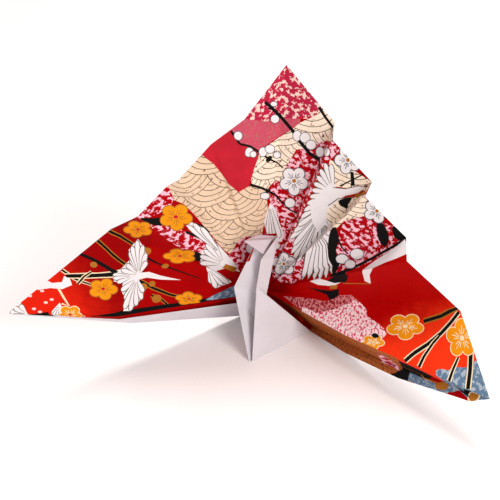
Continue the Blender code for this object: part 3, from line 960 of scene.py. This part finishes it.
class Shading:
    """A material's node tree, built step by step."""

    def __init__(self, name):
        self.material = bpy.data.materials.new(name)
        self.material.use_nodes = True
        self.tree = self.material.node_tree
        self.shader = self.tree.nodes["Principled BSDF"]

    def node(self, kind, **inputs):
        node = self.tree.nodes.new(kind)
        for key, value in inputs.items():
            socket = node.inputs[key.replace("_", " ")]
            if isinstance(value, bpy.types.NodeSocket):
                self.tree.links.new(value, socket)
            else:
                socket.default_value = value
        return node

    def link(self, out, name):
        self.tree.links.new(out, self.shader.inputs[name])

    def sheet_noise(self, size, detail=4.0, roughness=0.55):
        """Noise laid out on the flat sheet, with features of this many millimetres."""
        place = self.node("ShaderNodeTexCoord").outputs["UV"]
        finish = {"Scale": SHEET_SIDE / size, "Detail": detail, "Roughness": roughness}
        return self.node("ShaderNodeTexNoise", Vector=place, **finish).outputs["Fac"]

    def mix(self, share, first, second, kind="MIX"):
        node = self.tree.nodes.new("ShaderNodeMix")
        node.data_type = "RGBA"
        node.blend_type = kind
        for socket, value in ((node.inputs[0], share), (node.inputs[6], first), (node.inputs[7], second)):
            if isinstance(value, bpy.types.NodeSocket):
                self.tree.links.new(value, socket)
            else:
                socket.default_value = value
        return node.outputs[2]

    def ramp(self, value, low, high):
        return self.node("ShaderNodeMapRange", Value=value, From_Min=low, From_Max=high).outputs["Result"]

    def vector_math(self, operation, first, second):
        node = self.tree.nodes.new("ShaderNodeVectorMath")
        node.operation = operation
        self.tree.links.new(first, node.inputs[0])
        node.inputs[1].default_value = second
        return node.outputs["Value" if operation == "DOT_PRODUCT" else "Vector"]

    def along(self, start, end):
        """From 0 at one place on the flat sheet to 1 at another, a little uneven."""
        way = end - start
        place = self.node("ShaderNodeTexCoord").outputs["UV"]
        reached = self.vector_math("SUBTRACT", place, (start / SHEET_SIDE).to_3d())
        share = self.vector_math("DOT_PRODUCT", reached, (way * SHEET_SIDE / way.length_squared).to_3d())
        uneven = self.node("ShaderNodeMath")
        uneven.operation = "MULTIPLY_ADD"
        self.tree.links.new(self.sheet_noise(4.0), uneven.inputs[0])
        uneven.inputs[1].default_value = 0.5
        self.tree.links.new(share, uneven.inputs[2])
        ramp = self.node("ShaderNodeMapRange", Value=uneven.outputs[0], From_Min=0.25, From_Max=1.25)
        ramp.interpolation_type = "SMOOTHSTEP"
        return ramp.outputs["Result"]

    def paper_finish(self, colour, unevenness):
        """Ink soaked unevenly into fibrous paper."""
        self.shader.inputs["Specular IOR Level"].default_value = GLOSS
        cloudy = self.ramp(self.sheet_noise(*CLOUDY), 0.35, 0.65)
        shade = self.mix(unevenness, colour, self.mix(1.0, colour, SOAKED_SHADE, "MULTIPLY"))
        colour = self.mix(cloudy, colour, shade)
        self.link(colour, "Base Color")
        fibres = self.sheet_noise(*FIBRES)
        wrinkles = self.sheet_noise(*WRINKLES)
        grain = self.node("ShaderNodeMath")
        grain.operation = "MULTIPLY_ADD"
        self.tree.links.new(wrinkles, grain.inputs[0])
        grain.inputs[1].default_value = 3.0
        self.tree.links.new(fibres, grain.inputs[2])
        bump = self.node("ShaderNodeBump", Strength=0.35, Distance=0.0002, Height=grain.outputs[0])
        self.link(bump.outputs["Normal"], "Normal")
        self.link(self.ramp(fibres, 0.0, 1.6), "Roughness")
        return self.material


def make_materials(folding):
    materials = {}
    for name, colour in INKS.items():
        unevenness = WHITE_UNEVEN if name in WHITES else INK_UNEVEN
        materials[name] = Shading(name).paper_finish(linear(colour), unevenness)
    for name, (ground, flecks, size, share) in STIPPLED.items():
        shading = Shading(name)
        noise = shading.sheet_noise(size, detail=2.0, roughness=0.6)
        spots = shading.ramp(noise, 1 - share - FLECK_EDGE, 1 - share + FLECK_EDGE)
        materials[name] = shading.paper_finish(shading.mix(spots, linear(ground), linear(flecks)), MIX_UNEVEN)
    for name, (near, far, start, end) in GRADED.items():
        shading = Shading(name)
        share = shading.along(folding.seen(start), folding.seen(end))
        materials[name] = shading.paper_finish(shading.mix(share, linear(near), linear(far)), MIX_UNEVEN)
    return materials


# The studio

# How far the floor reaches from the middle, in metres, and where its fade to white starts and ends.
FLOOR_REACH = 3.0
FLOOR_COLOUR = (0.90, 0.85, 0.84, 1.0)
FLOOR_ROUGHNESS = 0.9
FLOOR_FADE = (0.30, 0.60)
SKY_COLOUR = (0.985, 0.965, 0.975, 1.0)
SKY_STRENGTH = 0.54
WHITE = (1.0, 1.0, 1.0, 1.0)
LAMP_COLOUR = (1.0, 0.97, 0.94)
# Each lamp's place, what it points at, its size in metres and its power in watts.
LAMPS = {
    "key": ((0.04, 0.24, 0.80), (0.0, 0.0, 0.03), 0.28, 4.2),
    "front": ((0.40, -0.44, 0.48), (0.0, 0.0, 0.04), 0.30, 3.3),
}


def make_camera():
    """The photograph's view: a long lens, looking 37 degrees down."""
    data = bpy.data.cameras.new("camera")
    data.sensor_width = SENSOR_WIDTH
    data.lens = CAMERA_LENS
    camera = bpy.data.objects.new("camera", data)
    camera.location = (CAMERA_PLACE + FOOT_TIP) * MM
    camera.rotation_euler = (math.radians(90 - CAMERA_DOWN), 0.0, 0.0)
    bpy.context.scene.collection.objects.link(camera)
    bpy.context.scene.camera = camera


def seen_directly(tree):
    """1 for what the camera sees, also by reflection or through glass, and 0 for what lights the crane."""
    rays = tree.nodes.new("ShaderNodeLightPath").outputs
    seen = rays["Is Camera Ray"]
    for kind in ("Is Glossy Ray", "Is Transmission Ray"):
        either = tree.nodes.new("ShaderNodeMath")
        either.operation = "MAXIMUM"
        tree.links.new(seen, either.inputs[0])
        tree.links.new(rays[kind], either.inputs[1])
        seen = either.outputs[0]
    return seen


def mix_shaders(tree, share, first, second, output):
    """Send a mix of two shaders to the tree's output."""
    mixed = tree.nodes.new("ShaderNodeMixShader")
    for socket, source in zip(mixed.inputs, (share, first, second)):
        tree.links.new(source, socket)
    tree.links.new(mixed.outputs[0], tree.nodes[output].inputs["Surface"])


def fade_far_floor(tree, shader):
    """Past the crane and its shadow the floor is seen as plain white, so that no horizon shows."""
    reach = tree.nodes.new("ShaderNodeVectorMath")
    reach.operation = "LENGTH"
    tree.links.new(tree.nodes.new("ShaderNodeTexCoord").outputs["Object"], reach.inputs[0])
    fade = tree.nodes.new("ShaderNodeMapRange")
    fade.interpolation_type = "SMOOTHSTEP"
    fade.inputs["From Min"].default_value, fade.inputs["From Max"].default_value = FLOOR_FADE
    tree.links.new(reach.outputs["Value"], fade.inputs["Value"])
    share = tree.nodes.new("ShaderNodeMath")
    share.operation = "MULTIPLY"
    tree.links.new(fade.outputs["Result"], share.inputs[0])
    tree.links.new(seen_directly(tree), share.inputs[1])
    plain = tree.nodes.new("ShaderNodeEmission")
    mix_shaders(tree, share.outputs[0], shader.outputs[0], plain.outputs[0], "Material Output")


def make_floor():
    mesh = bpy.data.meshes.new("floor")
    corners = [(x * FLOOR_REACH, y * FLOOR_REACH, 0) for x, y in ((-1, -1), (1, -1), (1, 1), (-1, 1))]
    mesh.from_pydata(corners, [], [(0, 1, 2, 3)])
    floor = bpy.data.objects.new("floor", mesh)
    material = bpy.data.materials.new("floor_white")
    material.use_nodes = True
    shader = material.node_tree.nodes["Principled BSDF"]
    shader.inputs["Base Color"].default_value = FLOOR_COLOUR
    shader.inputs["Roughness"].default_value = FLOOR_ROUGHNESS
    fade_far_floor(material.node_tree, shader)
    mesh.materials.append(material)
    bpy.context.scene.collection.objects.link(floor)


def add_lamp(name, place, target, size, power):
    data = bpy.data.lights.new(name, "AREA")
    data.size = size
    data.energy = power
    data.color = LAMP_COLOUR
    lamp = bpy.data.objects.new(name, data)
    lamp.location = place
    lamp.rotation_euler = (Vector(target) - Vector(place)).to_track_quat("-Z", "Y").to_euler()
    bpy.context.scene.collection.objects.link(lamp)


def make_lights():
    world = bpy.data.worlds.new("studio")
    bpy.context.scene.world = world
    world.use_nodes = True
    background = world.node_tree.nodes["Background"]
    background.inputs["Color"].default_value = SKY_COLOUR
    background.inputs["Strength"].default_value = SKY_STRENGTH
    plain = world.node_tree.nodes.new("ShaderNodeBackground")
    plain.inputs["Color"].default_value = WHITE
    seen = seen_directly(world.node_tree)
    mix_shaders(world.node_tree, seen, background.outputs[0], plain.outputs[0], "World Output")
    for name, setting in LAMPS.items():
        add_lamp(name, *setting)


def main():
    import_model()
    make_camera()
    make_floor()
    make_lights()
    folding = Folding()
    drawing = Drawing(folding)
    draw_print(drawing)
    sheet = make_sheet(folding, drawing, make_materials(folding))
    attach(sheet, "root")
    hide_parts("folded_sheet")
    bpy.context.scene.view_settings.view_transform = "Standard"


main()
